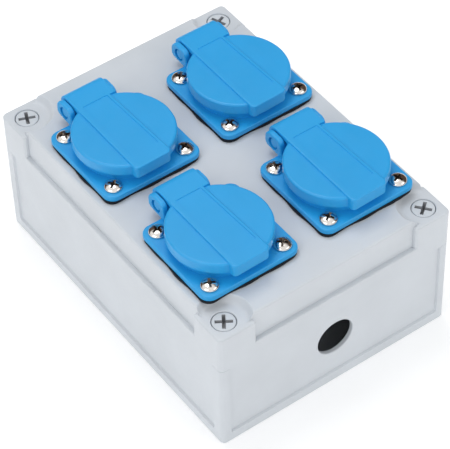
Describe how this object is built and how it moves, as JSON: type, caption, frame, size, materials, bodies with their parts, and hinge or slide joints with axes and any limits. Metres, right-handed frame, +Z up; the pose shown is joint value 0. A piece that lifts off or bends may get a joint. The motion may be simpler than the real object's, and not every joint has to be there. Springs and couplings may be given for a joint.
{
  "type": "electrical junction box",
  "caption": "Screwed two-part electrical junction box with earthed panel sockets under hinged round lids on its cover, and a cable entry in one end wall.",
  "frame": {"origin": "centre of the box's underside", "axes": "+Z up out of the cover, +Y along the box away from the cable entry, +X across the box"},
  "size_m": [0.1238, 0.1686, 0.0863],
  "materials": {
    "light_grey_plastic": "fine moulded texture, satin",
    "grey_screw_plastic": "moulded, satin",
    "blue_plastic": "moulded, semi-gloss",
    "black_rubber": "matte",
    "black_carrier_plastic": "moulded, satin",
    "plated_steel": "bright plated",
    "brass": "pressed, unpolished"
  },
  "bodies": {
    "box": {"enclosure_base": "light_grey_plastic", "enclosure_cover": "light_grey_plastic", "cover_seal": "black_rubber", "cover_screw_1": "grey_screw_plastic", "cover_screw_2": "grey_screw_plastic", "cover_screw_3": "grey_screw_plastic", "cover_screw_4": "grey_screw_plastic", "socket_housing_back_left": "blue_plastic", "flange_gasket_back_left": "black_rubber", "contact_carrier_back_left": "black_carrier_plastic", "earth_strap_back_left": "brass", "line_contact_back_left": "brass", "neutral_contact_back_left": "brass", "hinge_pin_back_left": "blue_plastic", "lid_spring_back_left": "plated_steel", "flange_screw_back_left_1": "plated_steel", "flange_screw_back_left_2": "plated_steel", "flange_screw_back_left_3": "plated_steel", "flange_screw_back_left_4": "plated_steel", "socket_housing_back_right": "blue_plastic", "flange_gasket_back_right": "black_rubber", "contact_carrier_back_right": "black_carrier_plastic", "earth_strap_back_right": "brass", "line_contact_back_right": "brass", "neutral_contact_back_right": "brass", "hinge_pin_back_right": "blue_plastic", "lid_spring_back_right": "plated_steel", "flange_screw_back_right_1": "plated_steel", "flange_screw_back_right_2": "plated_steel", "flange_screw_back_right_3": "plated_steel", "flange_screw_back_right_4": "plated_steel", "socket_housing_front_left": "blue_plastic", "flange_gasket_front_left": "black_rubber", "contact_carrier_front_left": "black_carrier_plastic", "earth_strap_front_left": "brass", "line_contact_front_left": "brass", "neutral_contact_front_left": "brass", "hinge_pin_front_left": "blue_plastic", "lid_spring_front_left": "plated_steel", "flange_screw_front_left_1": "plated_steel", "flange_screw_front_left_2": "plated_steel", "flange_screw_front_left_3": "plated_steel", "flange_screw_front_left_4": "plated_steel", "socket_housing_front_right": "blue_plastic", "flange_gasket_front_right": "black_rubber", "contact_carrier_front_right": "black_carrier_plastic", "earth_strap_front_right": "brass", "line_contact_front_right": "brass", "neutral_contact_front_right": "brass", "hinge_pin_front_right": "blue_plastic", "lid_spring_front_right": "plated_steel", "flange_screw_front_right_1": "plated_steel", "flange_screw_front_right_2": "plated_steel", "flange_screw_front_right_3": "plated_steel", "flange_screw_front_right_4": "plated_steel"},
    "back_left_lid": {"lid_back_left": "blue_plastic"},
    "back_right_lid": {"lid_back_right": "blue_plastic"},
    "front_left_lid": {"lid_front_left": "blue_plastic"},
    "front_right_lid": {"lid_front_right": "blue_plastic"}
  },
  "joints": [
    {"name": "back_left_lid_hinge", "type": "hinge", "parent": "box", "child": "back_left_lid", "pos_m": [-0.03125, 0.05725, 0.0805], "axis": [-1, 0, 0], "range_deg": [0, 110], "stiffness_Nm_per_rad": 0.004, "springref_deg": -28.65},
    {"name": "back_right_lid_hinge", "type": "hinge", "parent": "box", "child": "back_right_lid", "pos_m": [0.03125, 0.05725, 0.0805], "axis": [-1, 0, 0], "range_deg": [0, 110], "stiffness_Nm_per_rad": 0.004, "springref_deg": -28.65},
    {"name": "front_left_lid_hinge", "type": "hinge", "parent": "box", "child": "front_left_lid", "pos_m": [-0.03125, -0.01425, 0.0805], "axis": [-1, 0, 0], "range_deg": [0, 110], "stiffness_Nm_per_rad": 0.004, "springref_deg": -28.65},
    {"name": "front_right_lid_hinge", "type": "hinge", "parent": "box", "child": "front_right_lid", "pos_m": [0.03125, -0.01425, 0.0805], "axis": [-1, 0, 0], "range_deg": [0, 110], "stiffness_Nm_per_rad": 0.004, "springref_deg": -28.65}
  ]
}
